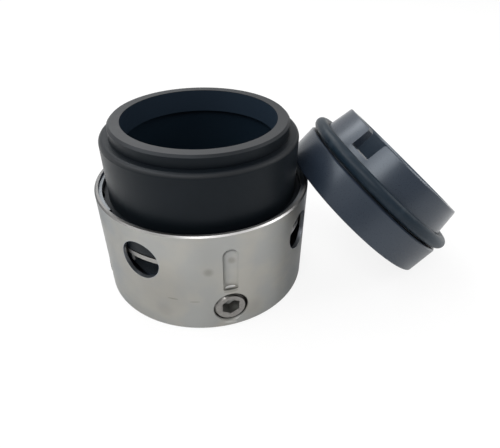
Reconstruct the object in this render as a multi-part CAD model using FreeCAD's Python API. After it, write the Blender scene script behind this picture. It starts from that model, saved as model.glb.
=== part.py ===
import FreeCAD, Part
import math
import os

# Mechanical shaft seal for a 22 mm shaft, in millimetres.
# The rotary unit stands on the back face of its drive collar, and the
# stationary seat leans on it. The origin is the centre of that back face and
# +Z runs along the shaft axis to the running face.
# An azimuth is counted from -Y towards +X.

V = FreeCAD.Vector
ORIGIN = V(0, 0, 0)
AXIS = V(0, 0, 1)
os.makedirs("parts", exist_ok=True)

# shaft and collar
shaft_dia = 22.0
shaft_clearance = 0.03
collar_wall = 9.0
collar_floor = 8.75
collar_edge = 0.35
sides = 4
screw_azimuth = 17.7

# thin sleeve on the collar
sleeve_wall = 0.68
sleeve_length = 12.17
lip_edge = 0.25

# round windows in the sleeve, midway between the screws
window_dia = 7.42
window_above_floor = 1.88
# the second window stands this many degrees on from the middle
second_window_shift = 2.4

# pressed grooves that drive the seal ring
press_width = 2.75
press_depth = 0.67
press_above_floor = 0.47
press_below_snap = 1.75
press_play = 0.31
press_root = 0.08
# rise over run of the ledge at a groove's foot
press_ledge = 0.35

# set screws
screw_dia = 6.0
screw_clearance = 0.05
screw_length = 6.0
screw_z = 4.73
screw_sunk = 0.1
screw_edge = 0.35
hole_mouth_edge = 0.1
hex_flats = 3.0
hex_depth = 2.5
drill_slope = 0.6
cup_dia = 3.0
cup_depth = 0.8

# retaining ring in the sleeve
snap_width = 0.68
snap_height = 0.75
snap_below_rim = 0.5
snap_slot_depth = 0.25
snap_play = 0.05
snap_gap = 5.83
snap_gap_azimuth = -42.0
snap_edge = 0.1

# seal ring that turns with the shaft
ring_side_gap = 0.4
ring_rest_gap = 0.3
ring_rear_length = 4.83
ring_rear_edge = 0.25
ring_snap_gap = 0.98
ring_wall = 3.15
ring_shoulder_round = 0.83
ring_above_rim = 11.75
nose_height = 2.25
nose_step = 1.73
nose_edge = 0.42
nose_face_width = 2.17
nose_bore_depth = 4.25
land_shaft_gap = 1.0
land_thick = 1.5

# rubber ring on the shaft
packing_section = 2.62
packing_shaft_gap = 0.1
packing_side_play = 0.1
packing_seat_gap = 0.15

# thrust ring and wave spring
thrust_thick = 0.92
thrust_side_gap = 0.36
thrust_shaft_gap = 0.5
tab_width = 0.67
tab_drop = 1.08
tab_depth = 0.58
tab_azimuth = -35.0
spring_side_gap = 1.15
spring_width = 3.3
spring_thick = 0.42
spring_play = 0.02
spring_points = 64

# stationary seat
seat_shaft_gap = 1.29
seat_wall = 3.21
seat_disc_step = 2.0
seat_disc_thick = 6.17
seat_disc_round = 0.21
seat_back_edge = 0.25
seat_neck_length = 7.67
seat_neck_straight = 2.25
seat_taper = 1.03
seat_end_edge = 0.17
seat_bore_edge = 0.42
slot_width = 4.42
slot_depth = 4.08
slot_flare = 0.42
slot_angle = 207.8

# rubber ring on the seat
seat_ring_section = 2.45
seat_ring_stretch = 0.03
seat_ring_gap = 0.36

# how the seat leans
seat_turn = 8.9
seat_sideways = -0.37
seat_rest_gap = 0.27

# how far a cut runs on past what it cuts
past = 2.0

# radii that follow, from the shaft outwards
shaft_r = shaft_dia / 2
bore_r = shaft_r + shaft_clearance
collar_r = shaft_r + collar_wall
sleeve_r = collar_r - sleeve_wall
snap_r = sleeve_r - snap_width
rear_r = sleeve_r - ring_side_gap
body_r = snap_r - ring_snap_gap
nose_r = body_r - nose_step
nose_bore_r = nose_r - nose_face_width
cavity_r = body_r - ring_wall
land_r = shaft_r + land_shaft_gap
packing_r = packing_section / 2
packing_centre_r = shaft_r + packing_shaft_gap + packing_r
packing_seat_r = packing_centre_r + packing_r + packing_seat_gap
thrust_r = sleeve_r - thrust_side_gap
thrust_bore_r = shaft_r + thrust_shaft_gap
spring_r = sleeve_r - press_depth - spring_side_gap

# heights that follow, from the collar's back face upwards
window_z = collar_floor + window_above_floor + window_dia / 2
rim_z = collar_floor + sleeve_length
snap_low = rim_z - snap_below_rim - snap_height
snap_high = rim_z - snap_below_rim
rear_high = snap_low - ring_rest_gap
rear_low = rear_high - ring_rear_length
thrust_low = rear_low - thrust_thick
packing_seat_z = rear_low + packing_section + packing_side_play
land_z = packing_seat_z + land_thick
nose_z = rim_z + ring_above_rim
shoulder_z = nose_z - nose_height
press_low = collar_floor + press_above_floor
press_high = snap_low - press_below_snap

# the pressing tool's radius, and how far its centre lies from the axis
press_half = press_width / 2
press_r = (press_half**2 + press_depth**2) / (2 * press_depth)
press_out = collar_r - press_depth + press_r

# the seat, upright on its running face
seat_bore_r = shaft_r + seat_shaft_gap
seat_neck_r = seat_bore_r + seat_wall
seat_disc_r = seat_neck_r + seat_disc_step
seat_end_r = seat_neck_r - seat_taper
seat_length = seat_disc_thick + seat_neck_length
seat_ring_r = seat_ring_section / 2
seat_ring_z = seat_disc_thick + seat_ring_gap + seat_ring_r


def at(r, z):
    return V(r, 0, z)


def turned(points):
    """Turned solid from its profile of (radius, height) points.

    An entry of four numbers is an arc through its first point to its second.
    """
    last = at(*points[0])
    edges = []
    for p in points[1:] + points[:1]:
        end = at(p[-2], p[-1])
        if len(p) == 4:
            edges.append(Part.Arc(last, at(p[0], p[1]), end).toShape())
        else:
            edges.append(Part.makeLine(last, end))
        last = end
    return Part.Face(Part.Wire(edges)).revolve(ORIGIN, AXIS, 360)


def corner_arc(r, z, k, down):
    """Entry for an outside corner of radius k, upwards or downwards."""
    s = k * (1 - math.sqrt(0.5))
    if down:
        return (r - s, z + s, r, z + k)
    return (r - s, z - s, r - k, z)


def prism(points, way):
    """Straight solid on a flat outline of points."""
    return Part.Face(Part.makePolygon(points + [points[0]])).extrude(way)


def around(shape, azimuth):
    """Copy of a shape made on the -Y side, turned to its azimuth."""
    copy = shape.copy()
    copy.rotate(ORIGIN, AXIS, azimuth)
    return copy


def radial_cylinder(r, near, far, z):
    return Part.makeCylinder(r, far - near, V(0, -near, z), V(0, -1, 0))


def press_shape(r):
    """Upright round bar with a domed top, as the pressing tool leaves it."""
    dome_z = press_high - press_half
    bar = Part.makeCylinder(r, dome_z - press_low, V(0, -press_out, press_low), AXIS)
    return bar.fuse(Part.makeSphere(r, V(0, -press_out, dome_z)))


def press_groove():
    """Groove with a ledge at its foot that slopes outwards and down."""
    inner = collar_r - press_depth
    foot = [
        V(-press_width, -collar_r, press_low),
        V(-press_width, -inner, press_low),
        V(-press_width, -inner, press_low + press_depth * press_ledge),
    ]
    return press_shape(press_r).cut(prism(foot, V(2 * press_width, 0, 0)))


def screw_hole():
    """Radial screw hole with a chamfered mouth."""
    r = screw_dia / 2 + screw_clearance
    hole = radial_cylinder(r, bore_r - past, collar_r + past, screw_z)
    mouth_r = r + hole_mouth_edge
    # where the chamfer meets the round outside at the mouth's sides
    mouth = math.sqrt(collar_r**2 - mouth_r**2)
    start = V(0, hole_mouth_edge - mouth, screw_z)
    cone = Part.makeCone(r, mouth_r + past, hole_mouth_edge + past, start, V(0, -1, 0))
    return hole.fuse(cone)


def drive_collar():
    """Thick base bored for the shaft, with the thin sleeve on it."""
    slot_r = sleeve_r + snap_slot_depth
    low = snap_low - snap_play
    high = snap_high + snap_play
    body = turned([
        (bore_r + collar_edge, 0),
        (collar_r - collar_edge, 0),
        (collar_r, collar_edge),
        (collar_r, rim_z - lip_edge),
        (collar_r - lip_edge, rim_z),
        (sleeve_r, rim_z),
        (sleeve_r, high),
        (slot_r, high),
        (slot_r, low),
        (sleeve_r, low),
        (sleeve_r, collar_floor),
        (bore_r + collar_edge, collar_floor),
        (bore_r, collar_floor - collar_edge),
        (bore_r, collar_edge),
    ])
    inside = Part.makeCylinder(sleeve_r + press_root, rim_z)
    bulge = press_shape(press_r + sleeve_wall).common(inside)
    groove = press_groove()
    hole = screw_hole()
    window = radial_cylinder(window_dia / 2, sleeve_r - past, collar_r + past, window_z)
    turn = 360 / sides
    for i in range(sides):
        body = body.fuse(around(bulge, screw_azimuth + i * turn))
    for i in range(sides):
        azimuth = screw_azimuth + i * turn
        middle = azimuth - turn / 2
        if i == 1:
            middle += second_window_shift
        body = body.cut(around(groove, azimuth))
        body = body.cut(around(hole, azimuth))
        body = body.cut(around(window, middle))
    return body


def set_screw(azimuth):
    """Grub screw with a hexagon socket and a cup point."""
    r = screw_dia / 2
    body = turned([
        (0, 0),
        (r - screw_edge, 0),
        (r, screw_edge),
        (r, screw_length - screw_edge),
        (r - screw_edge, screw_length),
        (cup_dia / 2, screw_length),
        (0, screw_length - cup_depth),
    ])
    corner = hex_flats / math.sqrt(3)
    turns = [math.radians(60 * i) for i in range(6)]
    hexagon = [V(corner * math.cos(t), corner * math.sin(t), 0) for t in turns]
    body = body.cut(prism(hexagon, V(0, 0, hex_depth)))
    point = Part.makeCone(corner, 0, corner * drill_slope, V(0, 0, hex_depth))
    body = body.cut(point)
    # its axis now points inwards, with a corner of the hexagon at the top
    body.rotate(ORIGIN, AXIS, 90)
    body.rotate(ORIGIN, V(1, 0, 0), -90)
    body.translate(V(0, screw_sunk - collar_r, screw_z))
    return around(body, azimuth)


def snap_ring():
    """Flat wire ring, split at one place."""
    outer = sleeve_r + snap_slot_depth - snap_play
    ring = turned([
        (snap_r + snap_edge, snap_low),
        (outer, snap_low),
        (outer, snap_high),
        (snap_r + snap_edge, snap_high),
        (snap_r, snap_high - snap_edge),
        (snap_r, snap_low + snap_edge),
    ])
    corner = V(-snap_gap / 2, -outer - past, snap_low - past)
    gap = Part.makeBox(snap_gap, outer - snap_r + 2 * past, snap_height + 2 * past, corner)
    return ring.cut(around(gap, snap_gap_azimuth))


def with_ways(ring):
    """Ring with a way cut for each pressed bulge of the sleeve."""
    r = press_r + sleeve_wall + press_play
    way = Part.makeCylinder(r, rim_z, V(0, -press_out, 0), AXIS)
    for i in range(sides):
        ring = ring.cut(around(way, screw_azimuth + i * 360 / sides))
    return ring


def seal_ring():
    """Hard running ring: driven rear part, plain body and narrow nose."""
    ring = turned([
        (packing_seat_r, rear_low),
        (rear_r - ring_rear_edge, rear_low),
        (rear_r, rear_low + ring_rear_edge),
        (rear_r, rear_high - ring_rear_edge),
        (rear_r - ring_rear_edge, rear_high),
        (body_r, rear_high),
        (body_r, shoulder_z - ring_shoulder_round),
        corner_arc(body_r, shoulder_z, ring_shoulder_round, False),
        (nose_r, shoulder_z),
        (nose_r, nose_z - nose_edge),
        (nose_r - nose_edge, nose_z),
        (nose_bore_r, nose_z),
        (nose_bore_r, nose_z - nose_bore_depth),
        (cavity_r, nose_z - nose_bore_depth),
        (cavity_r, land_z),
        (land_r, land_z),
        (land_r, packing_seat_z),
        (packing_seat_r, packing_seat_z),
    ])
    return with_ways(ring)


def shaft_packing():
    """Rubber ring between the seal ring and the shaft."""
    z = (rear_low + packing_seat_z) / 2
    return Part.makeTorus(packing_centre_r, packing_r, V(0, 0, z), AXIS)


def thrust_ring():
    """Flat ring with short tabs turned down round the spring."""
    ring = turned([
        (thrust_bore_r, thrust_low),
        (thrust_r, thrust_low),
        (thrust_r, rear_low),
        (thrust_bore_r, rear_low),
    ])
    skirt = turned([
        (thrust_r - tab_depth, thrust_low - tab_drop),
        (thrust_r, thrust_low - tab_drop),
        (thrust_r, rear_low),
        (thrust_r - tab_depth, rear_low),
    ])
    corner = V(-tab_width / 2, -thrust_r - past, thrust_low - tab_drop - past)
    strip = Part.makeBox(tab_width, thrust_r, 2 * past + tab_drop + thrust_thick, corner)
    tab = skirt.common(strip)
    for i in range(sides):
        ring = ring.fuse(around(tab, tab_azimuth + i * 360 / sides))
    return with_ways(ring)


def wave_line(r, rise):
    """Closed waved line with a crest under each pressed groove."""
    low = collar_floor + spring_play
    high = thrust_low - spring_play - spring_thick
    points = []
    for i in range(spring_points):
        turn = math.radians(360 * i / spring_points)
        wave = (1 + math.cos(sides * turn)) / 2
        height = low + (high - low) * wave + rise
        points.append(V(r * math.sin(turn), -r * math.cos(turn), height))
    line = Part.BSplineCurve()
    line.interpolate(points, True)
    return line.toShape()


def wave_spring():
    """Waved washer of spring strip."""
    inner = spring_r - spring_width
    corners = [(inner, 0), (spring_r, 0), (spring_r, spring_thick), (inner, spring_thick)]
    lines = [wave_line(r, rise) for r, rise in corners]
    sheets = [Part.makeRuledSurface(lines[i - 1], lines[i]) for i in range(4)]
    shell = Part.makeShell([s.Faces[0] for s in sheets])
    shell.sewShape()
    solid = Part.makeSolid(Part.Shell(shell.Faces))
    if solid.Volume < 0:
        solid.reverse()
    return around(solid, screw_azimuth)


def lean(tilt):
    """Where the seat's running face centre lies, out and up, at a tilt.

    Its lowest corner is on the floor and its disc is at the seal ring's body.
    """
    corner = seat_disc_r - seat_disc_round
    out = corner * math.cos(tilt) + seat_disc_round * (1 - math.sin(tilt))
    up = corner * math.sin(tilt) + seat_disc_round * (1 - math.cos(tilt))
    return body_r + seat_rest_gap + out, up


def rest_tilt():
    """Tilt at which the running face also comes to the sleeve's rim."""
    flat = math.radians(10)
    steep = math.radians(60)
    for step in range(40):
        tilt = (flat + steep) / 2
        out, up = lean(tilt)
        inwards = (out - collar_r + lip_edge) * math.sin(tilt)
        upwards = (rim_z - up) * math.cos(tilt)
        if upwards - inwards > -seat_rest_gap:
            flat = tilt
        else:
            steep = tilt
    return tilt


def leaned(shape):
    """Place a seat piece, made upright on its running face, as it leans."""
    tilt = rest_tilt()
    out, up = lean(tilt)
    shape.rotate(ORIGIN, V(0, 1, 0), math.degrees(tilt))
    shape.translate(V(out, seat_sideways, up))
    shape.rotate(ORIGIN, AXIS, seat_turn)
    return shape


def stationary_seat():
    """Hard seat ring: disc, neck with a tapered end and a pin slot."""
    ring = turned([
        (seat_bore_r + seat_bore_edge, 0),
        (seat_disc_r - seat_disc_round, 0),
        corner_arc(seat_disc_r, 0, seat_disc_round, True),
        (seat_disc_r, seat_disc_thick - seat_back_edge),
        (seat_disc_r - seat_back_edge, seat_disc_thick),
        (seat_neck_r, seat_disc_thick),
        (seat_neck_r, seat_disc_thick + seat_neck_straight),
        (seat_end_r, seat_length - seat_end_edge),
        (seat_end_r - seat_end_edge, seat_length),
        (seat_bore_r + seat_bore_edge, seat_length),
        (seat_bore_r, seat_length - seat_bore_edge),
        (seat_bore_r, seat_bore_edge),
    ])
    half = slot_width / 2
    wide = half + slot_flare
    outline = [
        (-half, seat_length - slot_depth),
        (half, seat_length - slot_depth),
        (half, seat_length - slot_flare),
        (wide, seat_length),
        (wide, seat_length + past),
        (-wide, seat_length + past),
        (-wide, seat_length),
        (-half, seat_length - slot_flare),
    ]
    near = seat_bore_r - past
    points = [V(near, y, z) for y, z in outline]
    slot = prism(points, V(seat_wall + 2 * past, 0, 0))
    slot.rotate(ORIGIN, AXIS, slot_angle)
    return leaned(ring.cut(slot))


def seat_rubber():
    """Rubber ring on the seat's neck."""
    centre = seat_neck_r + seat_ring_stretch + seat_ring_r
    ring = Part.makeTorus(centre, seat_ring_r, V(0, 0, seat_ring_z), AXIS)
    return leaned(ring)


def save(name, shape):
    shape.exportStep("parts/" + name + ".step")


save("drive_collar", drive_collar())
for number in range(sides):
    screw = set_screw(screw_azimuth + number * 360 / sides)
    save("set_screw_" + str(number + 1), screw)
save("snap_ring", snap_ring())
save("seal_ring", seal_ring())
save("shaft_o_ring", shaft_packing())
save("thrust_ring", thrust_ring())
save("wave_spring", wave_spring())
save("stationary_seat", stationary_seat())
save("seat_o_ring", seat_rubber())
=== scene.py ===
import math
import bmesh
import bpy
from mathutils import Matrix, Vector


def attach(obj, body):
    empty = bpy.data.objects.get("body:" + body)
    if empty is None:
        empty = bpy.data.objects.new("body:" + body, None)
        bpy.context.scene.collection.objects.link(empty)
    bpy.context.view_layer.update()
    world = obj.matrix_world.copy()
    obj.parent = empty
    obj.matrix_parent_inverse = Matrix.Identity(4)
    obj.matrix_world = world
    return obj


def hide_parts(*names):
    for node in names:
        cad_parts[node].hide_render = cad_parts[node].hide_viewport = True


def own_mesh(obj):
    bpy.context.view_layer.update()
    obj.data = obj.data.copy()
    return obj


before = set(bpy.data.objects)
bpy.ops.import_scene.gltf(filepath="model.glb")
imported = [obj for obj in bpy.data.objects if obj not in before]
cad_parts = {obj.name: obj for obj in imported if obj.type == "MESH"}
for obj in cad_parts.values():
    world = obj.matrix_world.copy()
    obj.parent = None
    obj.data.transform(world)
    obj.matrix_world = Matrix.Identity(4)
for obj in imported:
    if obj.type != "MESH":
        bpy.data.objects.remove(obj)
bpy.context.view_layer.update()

# The camera looks down on the seal from in front, from about a hand's width
# away, as a close photograph does.

EYE = Vector((0.009132, -0.071487, 0.060285))
LOOK_DOWN = math.radians(35.44)
ROLL = math.radians(0.855)
LENS_MM = 30.435
NEAREST = 0.004

lens = bpy.data.cameras.new("camera")
lens.lens = LENS_MM
lens.clip_start = NEAREST
camera = bpy.data.objects.new("camera", lens)
turn = Matrix.Rotation(math.pi / 2 - LOOK_DOWN, 4, "X") @ Matrix.Rotation(ROLL, 4, "Z")
camera.matrix_world = Matrix.Translation(EYE) @ turn
bpy.context.scene.collection.objects.link(camera)
bpy.context.scene.camera = camera
bpy.context.scene.view_settings.view_transform = "Standard"

# The seal stands on a plain pale floor, which is white to the eye and in what
# the metal mirrors, and which keeps the seal's soft shadow.

FLOOR_SIZE = 6.0
FLOOR_COLOUR = (0.78, 0.78, 0.775, 1)
WHITE = (1, 1, 1, 1)
WHITE_TO_EYE = 0.85
WHITE_IN_METAL = 0.2


class Shade:
    """One socket of a material's nodes. Sums and products add Math nodes."""

    def __init__(self, tree, socket=None):
        self.tree = tree
        self.socket = socket

    def node(self, kind, out, inputs=(), **settings):
        """Output of a new node, with its settings made before its inputs."""
        made = self.tree.nodes.new(kind)
        for name, value in settings.items():
            setattr(made, name, value)
        for name, value in dict(inputs).items():
            if isinstance(value, Shade):
                self.tree.links.new(value.socket, made.inputs[name])
            else:
                made.inputs[name].default_value = value
        return Shade(self.tree, made.outputs[out])

    def math(self, operation, *terms):
        """Result of one Math node."""
        return self.node("ShaderNodeMath", 0, enumerate(terms), operation=operation)

    def __add__(self, other):
        return self.math("ADD", self, other)

    def __sub__(self, other):
        return self.math("SUBTRACT", self, other)

    def __rsub__(self, other):
        return self.math("SUBTRACT", other, self)

    def __mul__(self, other):
        return self.math("MULTIPLY", self, other)

    __radd__ = __add__
    __rmul__ = __mul__

    def step(self, low, high):
        """0 at low and 1 at high, with a smooth rise or fall between."""
        ends = {"Value": self, "From Min": low, "From Max": high}
        return self.node("ShaderNodeMapRange", 0, ends, interpolation_type="SMOOTHSTEP")

    def between(self, start, full, fading, end):
        """0 up to start, 1 from full to fading, and 0 past end."""
        return self.step(start, full) * self.step(end, fading)

    def mix(self, first, second):
        """Colour between two, by this mask."""
        ends = {0: self, 6: first, 7: second}
        return self.node("ShaderNodeMix", 2, ends, data_type="RGBA")


def new_material(name):
    """A material without nodes, and the start of its shader maths."""
    material = bpy.data.materials.new(name)
    material.use_nodes = True
    material.node_tree.nodes.clear()
    return material, Shade(material.node_tree)


def show(start, shader, kind="ShaderNodeOutputMaterial"):
    """Lead a shader to the output."""
    end = start.tree.nodes.new(kind)
    start.tree.links.new(shader.socket, end.inputs["Surface"])


def link_mesh(name, shape):
    """New object of a finished bmesh, at the origin."""
    mesh = bpy.data.meshes.new(name)
    shape.to_mesh(mesh)
    shape.free()
    piece = bpy.data.objects.new(name, mesh)
    bpy.context.scene.collection.objects.link(piece)
    return piece


paper, start = new_material("pale_floor")
seen = start.node("ShaderNodeLightPath", "Is Camera Ray")
mirrored = start.node("ShaderNodeLightPath", "Is Glossy Ray")
through = start.node("ShaderNodeLightPath", "Is Transmission Ray")
share = (seen + through) * WHITE_TO_EYE + mirrored * WHITE_IN_METAL
matt = start.node("ShaderNodeBsdfDiffuse", 0, {"Color": FLOOR_COLOUR})
white = start.node("ShaderNodeEmission", 0, {"Color": WHITE, "Strength": 1})
show(start, start.node("ShaderNodeMixShader", 0, {0: share, 1: matt, 2: white}))

shape = bmesh.new()
bmesh.ops.create_grid(shape, x_segments=1, y_segments=1, size=FLOOR_SIZE / 2)
floor = link_mesh("floor", shape)
floor.data.materials.append(paper)

# The light is that of a pale room: the sky is brighter above, behind and on
# the left, a window is high on the left, and three more lamps hang in front,
# on the right and behind.

SKY_FRONT = 0.50
SKY_BACK = 1.0
BRIGHT_SIDE = (-0.45, 0.35, 0.82)
# cosines to the bright side where the sky starts and stops getting brighter
SKY_RISE = (-0.2, 1.0)
LAMPS = (
    # name, place, size, power
    ("window", (-0.30, -0.04, 0.36), 0.26, 1.0),
    ("front_lamp", (-0.09, -0.29, 0.40), 0.20, 0.8),
    ("side_lamp", (0.42, 0.00, 0.26), 0.20, 0.55),
    ("back_lamp", (-0.15, 0.30, 0.42), 0.24, 1.15),
)
LAMP_AIM = Vector((0.01, 0, 0.015))


def dot(way, other):
    """How far a place or a way goes along another way."""
    return way.node("ShaderNodeVectorMath", "Value", {0: way, 1: other}, operation="DOT_PRODUCT")


world = bpy.data.worlds.new("room")
world.use_nodes = True
world.node_tree.nodes.clear()
bpy.context.scene.world = world
sky = Shade(world.node_tree)
side = dot(sky.node("ShaderNodeTexCoord", "Generated"), BRIGHT_SIDE)
room = side.step(*SKY_RISE) * (SKY_BACK - SKY_FRONT) + SKY_FRONT
seen = sky.node("ShaderNodeLightPath", "Is Camera Ray")
strength = room + seen * (1 - room)
light = sky.node("ShaderNodeBackground", 0, {"Color": WHITE, "Strength": strength})
show(sky, light, "ShaderNodeOutputWorld")

for name, place, size, power in LAMPS:
    glow = bpy.data.lights.new(name, "AREA")
    glow.size = size
    glow.energy = power
    lamp = bpy.data.objects.new(name, glow)
    line = LAMP_AIM - Vector(place)
    turn = line.to_track_quat("-Z", "Y").to_matrix().to_4x4()
    lamp.matrix_world = Matrix.Translation(place) @ turn
    bpy.context.scene.collection.objects.link(lamp)

# The drive collar is turned from stainless steel bar in one piece with its
# thin sleeve. Four grooves are pressed into the sleeve and four windows are
# cut through it. Its outside is satin, with a few rubs and dark marks.

STEEL_WARM = (0.34, 0.331, 0.306, 1)
STEEL_COOL = (0.305, 0.308, 0.300, 1)
STEEL_STAIN_AND_SHADE = (0.16, 0.155, 0.14, 1)
STEEL_INSIDE_SHADE = (0.15, 0.17, 0.20, 1)
STEEL_OIL_AND_SHADOW = (0.07, 0.07, 0.065, 1)
STEEL_SCRATCH_AND_HIGHLIGHT = (0.66, 0.65, 0.64, 1)
STEEL_PAINTED_HIGHLIGHT = (0.85, 0.84, 0.83, 1)
STEEL_EDGE_TINT = (0.58, 0.60, 0.63, 1)
STEEL_SMOOTHEST = 0.29
# swells a metre of the steel's clouds, upright bands of painted reflection,
# turned lines and rubs
CLOUDS = 170
REFLECTION_BANDS = 110
TURNED_LINES = 10500
RUBS = 1100
LINE_DEPTH = 0.000016
# the width of a sharp change between two finishes
SHARP = 0.00004
# every reach is the distance at which a mark begins, then that where it is
# full: here for the sleeve's inside, which is painted darker and bluer as
# shade, by distance from the shaft axis
INSIDE_REACH = (0.019327, 0.019323)
# the upright bands of painted reflection, and the painted dark reflection of
# the shaded floor on the right, an upright band which is a round mark once
# its height is squeezed
PAINTED_BAND_DEPTH = 0.22
BAND_SQUEEZE = (1, 1, 0.3)
DARK_REFLECTION_BAND = (0.0175, -0.0098, 0.0036)
DARK_REFLECTION_REACH = (0.0076, 0.0026)
# the rim's lip, painted dull as shade on its sides, with a painted highlight
# in front
LIP_LOW = 0.02065
LIP_PAINTED_SHADE = (0.155, 0.153, 0.15, 1)
LIP_HIGHLIGHT_CENTRE = (0.0083, -0.0178, 0.0209)
LIP_HIGHLIGHT_REACH = (0.0117, 0.0025)
# the first groove stands over the first screw, and the other grooves and
# screws at quarter turns from them
GROOVE_AZIMUTH = 17.7
QUARTERS = (0, 90, 180, 270)
# the pressed groove's domed top, and a painted highlight along its upper
# edge, which softens the edge's shading
DOME_OUT = 0.0197
DOME_HEIGHT = 0.01655
DOME_EDGE = (0.00098, 0.00108, 0.00128, 0.00138)
DOME_EDGE_RISE = 0.0006
DOME_EDGE_HIGHLIGHT = 0.5
# the screw hole's mouth, painted dark as oil and as the shade in the gap
# round the screw
SCREW_HEIGHT = 0.00473
MOUTH_OUT = 0.0200
MOUTH_REACH = (0.00327, 0.00315)
MOUTH_DEPTH = 0.5
# the windows' cut edges, which are a little bluer than the satin outside
WINDOW_AZIMUTHS = (-27.3, 65.1, 152.7, 242.7)
WINDOW_OUT = 0.0197
WINDOW_HEIGHT = 0.01434
WINDOW_REACH = (0.00378, 0.00374)
STEEL_CUT = (0.35, 0.375, 0.41, 1)
# dark marks on the outside: place, radius and depth of the mark, which is
# full up to a share of its radius. The five small ones are stains, the wide
# one high on the left is painted shade, and the widest, at the front left,
# darkens a broad patch.
STAINS_AND_SHADE = (
    ((0.00620, -0.01830, 0.01510), 0.0010, 0.50),
    ((0.00242, -0.01980, 0.01360), 0.0012, 0.50),
    ((-0.0058, -0.0191, 0.0041), 0.0022, 0.18),
    ((0.0098, -0.0174, 0.0035), 0.0026, 0.22),
    ((-0.0110, -0.0167, 0.0150), 0.0030, 0.12),
    ((-0.0173, -0.0100, 0.0190), 0.0044, 0.45),
    ((-0.0060, -0.0190, 0.0095), 0.0085, 0.28),
)
STAIN_FULL = 0.2
# long marks on the outside: both ends, how far round them, depth and colour
SCRATCHES = (
    ((-0.00487, -0.01940, 0.00735), (-0.00308, -0.01976, 0.00727), 0.00004, 0.60, STEEL_STAIN_AND_SHADE),
    ((-0.00102, -0.01997, 0.00692), (0.00072, -0.01998, 0.00697), 0.00003, 0.50, STEEL_STAIN_AND_SHADE),
    ((0.00487, -0.01940, 0.00133), (0.00702, -0.01872, 0.00089), 0.00012, 0.30, STEEL_SCRATCH_AND_HIGHLIGHT),
)
SCRATCH_FULL = 0.1
# painted light and shade at the foot of each pressed groove: a soft painted
# shadow, a painted highlight on the sheared ledge and a painted shadow line
# under the ledge; azimuths of the ends, radius and height, then as for the
# scratches
GROOVE_FOOT_LIGHT_AND_SHADOW = (
    (14.2, 21.2, 0.0200, 0.00880, 0.00017, 0.45, STEEL_STAIN_AND_SHADE),
    (14.0, 20.9, 0.01950, 0.00940, 0.00005, 1.00, STEEL_PAINTED_HIGHLIGHT),
    (14.0, 21.4, 0.01995, 0.00920, 0.00004, 0.90, STEEL_OIL_AND_SHADOW),
)


def on_ring(azimuth, r, z):
    """Point at a radius and a height, at degrees round from the front."""
    turn = math.radians(azimuth)
    return Vector((r * math.sin(turn), -r * math.cos(turn), z))


def object_place(start):
    """Where on the piece the surface is."""
    return start.node("ShaderNodeTexCoord", "Object")


def stretched(place, scale):
    """The place with its three axes scaled, for grain that runs one way."""
    return place.node("ShaderNodeVectorMath", 0, {0: place, 1: scale}, operation="MULTIPLY")


def grain(place, swells, detail):
    """Soft noise from 0 to 1 at this many swells a metre."""
    inputs = {"Vector": place, "Scale": swells, "Detail": detail, "Roughness": 0.5}
    return place.node("ShaderNodeTexNoise", 0, inputs)


def distance_to(place, point):
    """Distance from a point."""
    return place.node("ShaderNodeVectorMath", "Value", {0: place, 1: point}, operation="DISTANCE")


def from_axis(place):
    """Distance from the shaft axis."""
    flat = stretched(place, (1, 1, 0))
    return place.node("ShaderNodeVectorMath", "Value", {0: flat}, operation="LENGTH")


def height_of(place):
    """Height over the floor."""
    return place.node("ShaderNodeSeparateXYZ", "Z", {0: place})


def bump(height, depth, strength):
    """Normal of a surface with this relief."""
    inputs = {"Height": height, "Distance": depth, "Strength": strength}
    return height.node("ShaderNodeBump", 0, inputs)


def surface(start, inputs):
    """Finish a material with its one surface shader."""
    show(start, start.node("ShaderNodeBsdfPrincipled", 0, inputs))


def dress(node, material):
    """Give one of the part's own solids its material."""
    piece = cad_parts[node]
    piece.data.materials.clear()
    piece.data.materials.append(material)


steel, start = new_material("collar_steel")
place = object_place(start)
height = height_of(place)
cloud = grain(place, CLOUDS, 2).step(0.35, 0.65)
colour = cloud.mix(STEEL_WARM, STEEL_COOL)
# upright bands of painted reflection, darker here and there at random
bands = grain(stretched(place, (1, 1, 0.15)), REFLECTION_BANDS, 2).step(0.45, 0.75)
colour = (bands * PAINTED_BAND_DEPTH).mix(colour, STEEL_STAIN_AND_SHADE)
# stains, and painted shade in the wide mark high on the left
for point, radius, depth in STAINS_AND_SHADE:
    stain_and_shade = distance_to(place, point).step(radius, radius * STAIN_FULL) * depth
    colour = stain_and_shade.mix(colour, STEEL_STAIN_AND_SHADE)
# painted dark reflection of the shaded floor, on the right
dark_reflection = distance_to(stretched(place, BAND_SQUEEZE), DARK_REFLECTION_BAND).step(*DARK_REFLECTION_REACH)
colour = (dark_reflection * PAINTED_BAND_DEPTH).mix(colour, STEEL_STAIN_AND_SHADE)
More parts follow.
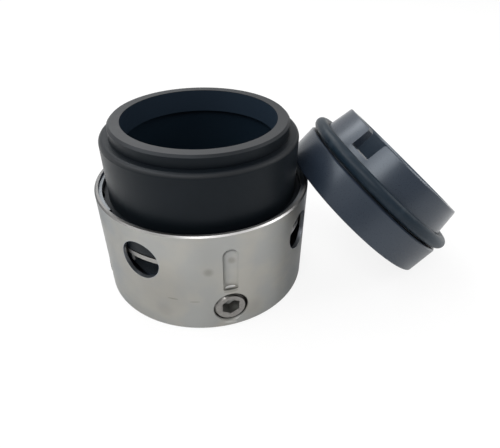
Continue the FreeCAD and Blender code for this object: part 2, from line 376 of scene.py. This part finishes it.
# painted shade on the lip's sides and a painted highlight on it in front
lip = height.step(LIP_LOW, LIP_LOW + SHARP)
lip_highlight = distance_to(place, LIP_HIGHLIGHT_CENTRE).step(*LIP_HIGHLIGHT_REACH)
colour = lip.mix(colour, lip_highlight.mix(LIP_PAINTED_SHADE, STEEL_SCRATCH_AND_HIGHLIGHT))
marks = list(SCRATCHES)
for quarter in QUARTERS:
    dome = distance_to(place, on_ring(GROOVE_AZIMUTH + quarter, DOME_OUT, DOME_HEIGHT))
    # painted highlight along the dome's upper edge
    edge = dome.between(*DOME_EDGE) * height.step(DOME_HEIGHT, DOME_HEIGHT + DOME_EDGE_RISE)
    colour = (edge * DOME_EDGE_HIGHLIGHT).mix(colour, STEEL_SCRATCH_AND_HIGHLIGHT)
    # oil and painted shade round the screw hole's mouth
    mouth = distance_to(place, on_ring(GROOVE_AZIMUTH + quarter, MOUTH_OUT, SCREW_HEIGHT))
    colour = (mouth.step(*MOUTH_REACH) * MOUTH_DEPTH).mix(colour, STEEL_OIL_AND_SHADOW)
    # painted light and shade at each groove's foot
    for first, second, r, z, near, depth, tone in GROOVE_FOOT_LIGHT_AND_SHADOW:
        ends = (on_ring(first + quarter, r, z), on_ring(second + quarter, r, z))
        marks.append((*ends, near, depth, tone))
for azimuth in WINDOW_AZIMUTHS:
    cut = distance_to(place, on_ring(azimuth, WINDOW_OUT, WINDOW_HEIGHT)).step(*WINDOW_REACH)
    colour = cut.mix(colour, STEEL_CUT)
for first, second, near, depth, tone in marks:
    length = (Vector(second) - Vector(first)).length
    # the two distances add up to the length only on the mark itself
    detour = distance_to(place, first) + distance_to(place, second) - length
    colour = (detour.step(near, near * SCRATCH_FULL) * depth).mix(colour, tone)
# the sleeve's inside, painted darker and bluer as shade
inside = from_axis(place).step(*INSIDE_REACH)
lines = grain(stretched(place, (0.02, 0.02, 1)), TURNED_LINES, 2)
rub = grain(place, RUBS, 4)
surface(start, {
    "Base Color": inside.mix(colour, STEEL_INSIDE_SHADE),
    "Metallic": 1.0,
    "Roughness": lines * 0.08 + rub * 0.10 + STEEL_SMOOTHEST,
    "Specular Tint": STEEL_EDGE_TINT,
    "Normal": bump(lines * 0.6 + rub * 0.4, LINE_DEPTH, 0.5),
})
dress("drive_collar", steel)

# Four set screws hold the collar on the shaft. Each is a hardened grub screw
# with an M6 thread, a hexagon socket and a cup point, dark with cutting oil.
# The thread is painted darker still, as the shade in the hole round it, and
# the socket is painted lighter, as light in its shade.

SCREW_R = 0.0030
THREAD_ROOT = 0.00246
PITCH = 0.0010
# shares of a half turn of thread that are its flat root and its flank
ROOT_SHARE = 0.12
FLANK_SHARE = 0.63
SCREW_LENGTH = 0.0060
SCREW_FACE = 0.0199
FACE_R = 0.00256
SOCKET_FLATS = 0.0030
SOCKET_MOUTH = 0.00187
SOCKET_CHAMFER = 0.0002
SOCKET_DEPTH = 0.0025
SOCKET_TIP = 0.0035
CUP_R = 0.0015
CUP_DEPTH = 0.0008
ROWS_IN_PITCH = 8
SPINS = 72
# how close to a wall's radius a point counts as on that wall
ON_WALL = 0.00001
SCREW_PALE = (0.28, 0.272, 0.26, 1)
SCREW_DARK = (0.17, 0.162, 0.155, 1)
# the socket, painted lighter than the face as light in its shade
SOCKET_PAINTED_LIGHT = (0.31, 0.31, 0.30, 1)
# the socket's inside, by distance from the shaft axis
SOCKET_REACH = (0.0198, 0.0195)
# the thread, painted near black as oil and as the shade in the hole round it
THREAD_OIL_AND_SHADE = (0.05, 0.048, 0.045, 1)
THREAD_OIL_AND_SHADE_PALE = (0.09, 0.085, 0.08, 1)
# swells a metre of the rubs and of the tool marks
SCREW_RUBS = 1800
TOOL_MARKS = 4000


def bare_steel(name, swells, first, second, varies, least):
    """Steel whose rubs take it from one colour to another, and in roughness with it."""
    material, start = new_material(name)
    rub = grain(object_place(start), swells, 3)
    surface(start, {
        "Base Color": rub.mix(first, second),
        "Metallic": 1.0,
        "Roughness": rub * varies + least,
    })
    return material


def hexagon(angle):
    """Share of half the width across flats, at an angle round the socket."""
    sixth = math.pi / 3
    return 1 / math.cos((angle + sixth / 2) % sixth - sixth / 2)


def thread(turns):
    """Radius of the thread at a share of a turn along its helix."""
    share = abs(turns % 1 - 0.5) * 2
    rise = min(max((share - ROOT_SHARE) / FLANK_SHARE, 0), 1)
    return THREAD_ROOT + (SCREW_R - THREAD_ROOT) * rise


def spun(profile, spins, closed):
    """New bmesh of a profile of (radius, height) spun round the Z axis."""
    shape = bmesh.new()
    points = [shape.verts.new((r, 0, z)) for r, z in profile]
    pairs = list(zip(points, points[1:]))
    if closed:
        pairs.append((points[-1], points[0]))
    edges = [shape.edges.new(pair) for pair in pairs]
    bmesh.ops.spin(
        shape, geom=points + edges, cent=(0, 0, 0), axis=(0, 0, 1), dvec=(0, 0, 0),
        angle=2 * math.pi, steps=spins, use_merge=True, use_duplicate=False,
    )
    bmesh.ops.remove_doubles(shape, verts=shape.verts, dist=0.000001)
    bmesh.ops.recalc_face_normals(shape, faces=shape.faces)
    return shape


def smooth(piece, degrees):
    """Shade a piece smooth, with its edges sharper than this kept."""
    for face in piece.data.polygons:
        face.use_smooth = True
    piece.data.set_sharp_from_angle(angle=math.radians(degrees))


def set_screw():
    """Screw upright on the Z axis, with its socket up at height 0."""
    chamfer = SCREW_R - FACE_R
    low = -SCREW_LENGTH
    threaded = SCREW_LENGTH - 2 * chamfer
    rows = round(threaded / PITCH * ROWS_IN_PITCH)
    flank = [(SCREW_R, low + chamfer + threaded * row / rows) for row in range(rows + 1)]
    profile = [(0, low + CUP_DEPTH), (CUP_R, low), (FACE_R, low)] + flank + [
        (FACE_R, 0),
        (SOCKET_MOUTH, 0),
        (SOCKET_FLATS / 2, -SOCKET_CHAMFER),
        (SOCKET_FLATS / 2, -SOCKET_DEPTH),
        (0, -SOCKET_TIP),
    ]
    shape = spun(profile, SPINS, False)
    for point in shape.verts:
        r = point.co.xy.length
        angle = math.atan2(point.co.y, point.co.x)
        if abs(r - SCREW_R) < ON_WALL:
            point.co.xy *= thread(point.co.z / PITCH - angle / (2 * math.pi)) / r
        elif abs(r - SOCKET_FLATS / 2) < ON_WALL and point.co.z > -SOCKET_TIP:
            point.co.xy *= hexagon(angle)
    for face in shape.faces:
        middle = face.calc_center_median()
        if middle.z < -chamfer and middle.xy.length > SOCKET_MOUTH:
            face.material_index = 1
    return shape


screw_steel, start = new_material("screw_steel")
place = object_place(start)
rub = grain(place, SCREW_RUBS, 3)
# the socket is painted lighter, as light in its shade
socket = from_axis(place).step(*SOCKET_REACH)
surface(start, {
    "Base Color": socket.mix(rub.mix(SCREW_PALE, SCREW_DARK), SOCKET_PAINTED_LIGHT),
    "Metallic": 1.0,
    "Roughness": rub * 0.2 + 0.28,
    "Normal": bump(grain(place, TOOL_MARKS, 3), 0.00002, 0.5),
})
oily_shaded_thread = bare_steel("oily_shaded_thread", SCREW_RUBS, THREAD_OIL_AND_SHADE, THREAD_OIL_AND_SHADE_PALE, 0.2, 0.35)

for index, quarter in enumerate(QUARTERS):
    azimuth = GROOVE_AZIMUTH + quarter
    shape = set_screw()
    turn = Matrix.Rotation(math.radians(azimuth), 4, "Z") @ Matrix.Rotation(math.pi / 2, 4, "X")
    shape.transform(Matrix.Translation(on_ring(azimuth, SCREW_FACE, SCREW_HEIGHT)) @ turn)
    piece = link_mesh("grub_screw_" + str(index + 1), shape)
    piece.data.materials.append(screw_steel)
    piece.data.materials.append(oily_shaded_thread)
    smooth(piece, 30)
    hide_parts("set_screw_" + str(index + 1))
    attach(piece, "screw_" + str(index + 1))

# The wave spring lies on the collar's floor. It is flat strip bent round with
# four waves, and it pushes the seal ring up. The real spring gets lower as
# that goes down; here it keeps one height.

SPRING_OUT = 0.0175
SPRING_IN = 0.0142
SPRING_LOW = 0.00877
SPRING_HIGH = 0.01318
STRIP_THICK = 0.00042
WAVES = 4
STRIP_SPINS = 96
STRIP_PALE = (0.20, 0.235, 0.28, 1)
STRIP_DARK = (0.13, 0.16, 0.20, 1)
STRIP_RUBS = 1600

spring_steel = bare_steel("spring_steel", STRIP_RUBS, STRIP_PALE, STRIP_DARK, 0.2, 0.35)
strip = [(SPRING_IN, 0), (SPRING_OUT, 0), (SPRING_OUT, STRIP_THICK), (SPRING_IN, STRIP_THICK)]
shape = spun(strip, STRIP_SPINS, True)
for point in shape.verts:
    azimuth = math.atan2(point.co.x, -point.co.y)
    wave = (1 + math.cos(WAVES * (azimuth - math.radians(GROOVE_AZIMUTH)))) / 2
    point.co.z += SPRING_LOW + (SPRING_HIGH - SPRING_LOW) * wave
spring = link_mesh("spring_strip", shape)
spring.data.materials.append(spring_steel)
smooth(spring, 40)
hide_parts("wave_spring")
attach(spring, "collar")
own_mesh(spring)

# The thrust ring lies on the spring and carries the seal ring. It is stamped
# from stainless sheet, with small tabs turned down.

PLATE_PALE = (0.31, 0.305, 0.295, 1)
PLATE_DARK = (0.22, 0.215, 0.205, 1)
RING_RUBS = 2100

plate_steel = bare_steel("plate_steel", RING_RUBS, PLATE_PALE, PLATE_DARK, 0.15, 0.30)
dress("thrust_ring", plate_steel)

# The rubber ring in the seal ring seals it to the shaft. It is moulded, and
# it can't be seen from outside once a shaft is in.

RUBBER_BLACK = (0.010, 0.010, 0.011, 1)
RUBBER_WORN = (0.016, 0.016, 0.017, 1)
RUBBER_SWELLS = 3500

black_rubber, start = new_material("black_rubber")
fine = grain(object_place(start), RUBBER_SWELLS, 3)
surface(start, {
    "Base Color": fine.mix(RUBBER_BLACK, RUBBER_WORN),
    "Roughness": fine * 0.1 + 0.45,
    "Normal": bump(fine, 0.00002, 0.3),
})
dress("shaft_o_ring", black_rubber)

# The seal ring is sintered silicon carbide, ground all over and lapped on the
# running face: nearly black, slightly blue, with a soft sheen.

RING_DARK = (0.0031, 0.0046, 0.0064, 1)
RING_PALE = (0.0052, 0.0072, 0.0095, 1)
CARBIDE_SHEEN = (0.85, 0.925, 1.0, 1)
# swells a metre of the carbide's ground surface, its clouds and grinding lines
GROUND_SWELLS = 7000
CARBIDE_CLOUDS = 150
GRINDING_LINES = 9000
# the rounded shoulder under the nose, by height, with a painted highlight
# along it
SHOULDER_HIGHLIGHT_BAND = (0.0297, 0.0300, 0.03022, 0.03042)
SHOULDER_HIGHLIGHT = (0.0165, 0.0175, 0.0190, 1)
# the nose's edge and the lapped face on it, painted lighter than the body as
# the light from above, and lighter towards the front
NOSE_EDGE_LOW = 0.03226
NOSE_EDGE_HIGHLIGHT = 0.4
LAPPED_LOW = 0.03262
LAPPED_LIGHT_SPREAD = (0.012, -0.012)
LAPPED_LIT_BACK = (0.017, 0.0185, 0.0205, 1)
LAPPED_LIT_FRONT = (0.033, 0.034, 0.036, 1)
# the cavity's wall and the narrower bore under it, by distance from the axis,
# painted lighter and bluer than the outside as light inside them
CAVITY_REACH = (0.0147, 0.01455)
CAVITY_PAINTED_LIGHT = (0.0055, 0.011, 0.018, 1)
BORE_REACH = (0.01393, 0.01378)
BORE_PAINTED_LIGHT = (0.0135, 0.022, 0.034, 1)

dark_carbide, start = new_material("dark_carbide")
place = object_place(start)
height = height_of(place)
fine = grain(place, GROUND_SWELLS, 2)
ground = grain(stretched(place, (0.03, 0.03, 1)), GRINDING_LINES, 2)
colour = grain(place, CARBIDE_CLOUDS, 2).mix(RING_DARK, RING_PALE)
# painted highlight along the rounded shoulder
colour = height.between(*SHOULDER_HIGHLIGHT_BAND).mix(colour, SHOULDER_HIGHLIGHT)
# painted light from above on the nose's edge and lapped face, more in front
front = place.node("ShaderNodeSeparateXYZ", "Y", {0: place}).step(*LAPPED_LIGHT_SPREAD)
edge = height.step(NOSE_EDGE_LOW, NOSE_EDGE_LOW + SHARP) * NOSE_EDGE_HIGHLIGHT
lapped = edge + height.step(LAPPED_LOW, LAPPED_LOW + SHARP) * (1 - NOSE_EDGE_HIGHLIGHT)
colour = lapped.mix(colour, front.mix(LAPPED_LIT_BACK, LAPPED_LIT_FRONT))
# painted light in the cavity and the bore
below = height.step(LAPPED_LOW, LAPPED_LOW - SHARP)
colour = (from_axis(place).step(*CAVITY_REACH) * below).mix(colour, CAVITY_PAINTED_LIGHT)
colour = (from_axis(place).step(*BORE_REACH) * below).mix(colour, BORE_PAINTED_LIGHT)
surface(start, {
    "Base Color": colour,
    "Roughness": fine * 0.12 + ground * 0.08 + 0.32,
    "Specular IOR Level": 0.13,
    "Specular Tint": CARBIDE_SHEEN,
    "Normal": bump(fine * 0.6 + ground * 0.4, 0.00001, 0.35),
})
dress("seal_ring", dark_carbide)

# The retaining ring is flat stainless spring wire, split at one place, and
# sprung into a groove under the sleeve's rim, where it keeps the seal ring in.

WIRE_PALE = (0.16, 0.17, 0.18, 1)
WIRE_DARK = (0.11, 0.12, 0.13, 1)

ring_steel = bare_steel("ring_steel", RING_RUBS, WIRE_PALE, WIRE_DARK, 0.15, 0.30)
dress("snap_ring", ring_steel)

# The stationary seat is silicon carbide too, of a lighter and bluer grade,
# ground on its outside and back, with a slot for the pin that holds it.

SEAT_DARK = (0.010, 0.015, 0.025, 1)
SEAT_PALE = (0.016, 0.023, 0.035, 1)
SEAT_AXIS = (0.6501, 0.1018, 0.7530)
SEAT_MIDDLE = (0.03520, 0.00514, 0.01664)
# from where to where the bore's colour gives way, by distance from that axis;
# the bore is painted lighter and bluer, as light inside it
SEAT_WALL = (0.0125, 0.0127)
SEAT_INSIDE_PAINTED_LIGHT = (0.031, 0.044, 0.062, 1)
# the neck's foot under the rubber ring, painted dark as the shade under it,
# by distance along that axis
NECK_FOOT = (0.03522, 0.03527, 0.03725, 0.03745)
FOOT_PAINTED_SHADE = (0.002, 0.003, 0.004, 1)


def from_line(place, point, way):
    """Distance from the line through a point, along a way of length 1."""
    offset = place.node("ShaderNodeVectorMath", 0, {0: place, 1: point}, operation="SUBTRACT")
    across = place.node("ShaderNodeVectorMath", 0, {0: offset, 1: way}, operation="CROSS_PRODUCT")
    return place.node("ShaderNodeVectorMath", "Value", {0: across}, operation="LENGTH")


grey_carbide, start = new_material("grey_carbide")
place = object_place(start)
fine = grain(place, GROUND_SWELLS, 2)
outside = from_line(place, SEAT_MIDDLE, SEAT_AXIS).step(*SEAT_WALL)
colour = grain(place, CARBIDE_CLOUDS, 2).mix(SEAT_DARK, SEAT_PALE)
# painted light in the bore
colour = outside.mix(SEAT_INSIDE_PAINTED_LIGHT, colour)
# painted shade under the rubber ring
foot = dot(place, SEAT_AXIS).between(*NECK_FOOT) * outside
surface(start, {
    "Base Color": foot.mix(colour, FOOT_PAINTED_SHADE),
    "Roughness": fine * 0.10 + foot * 0.55 + 0.24,
    "Specular IOR Level": 0.53,
    "Specular Tint": CARBIDE_SHEEN,
    "Normal": bump(fine, 0.00001, 0.3),
})
dress("stationary_seat", grey_carbide)

# The seat's rubber ring seals it in its housing. It is moulded, dark blue
# grey and slightly dusty, and its low end is painted lighter as a reflection
# of the floor.

RUBBER_CLEAN = (0.006, 0.013, 0.021, 1)
RUBBER_DUST_AND_REFLECTION = (0.028, 0.040, 0.052, 1)
DUST_SWELLS = 500
REFLECTION_END = (0.0445, -0.0050, 0.0090)
REFLECTION_END_REACH = (0.016, 0.004)

grey_rubber, start = new_material("grey_rubber")
place = object_place(start)
fine = grain(place, RUBBER_SWELLS, 3)
dust_and_reflection = grain(place, DUST_SWELLS, 4).step(0.5, 0.8)
# painted reflection of the floor at the ring's low end
dust_and_reflection = dust_and_reflection + distance_to(place, REFLECTION_END).step(*REFLECTION_END_REACH) * 1.2
surface(start, {
    "Base Color": (dust_and_reflection * 0.5).mix(RUBBER_CLEAN, RUBBER_DUST_AND_REFLECTION),
    "Roughness": fine * 0.15 + 0.36,
    "Specular IOR Level": 0.18,
    "Normal": bump(fine, 0.00002, 0.3),
})
dress("seat_o_ring", grey_rubber)
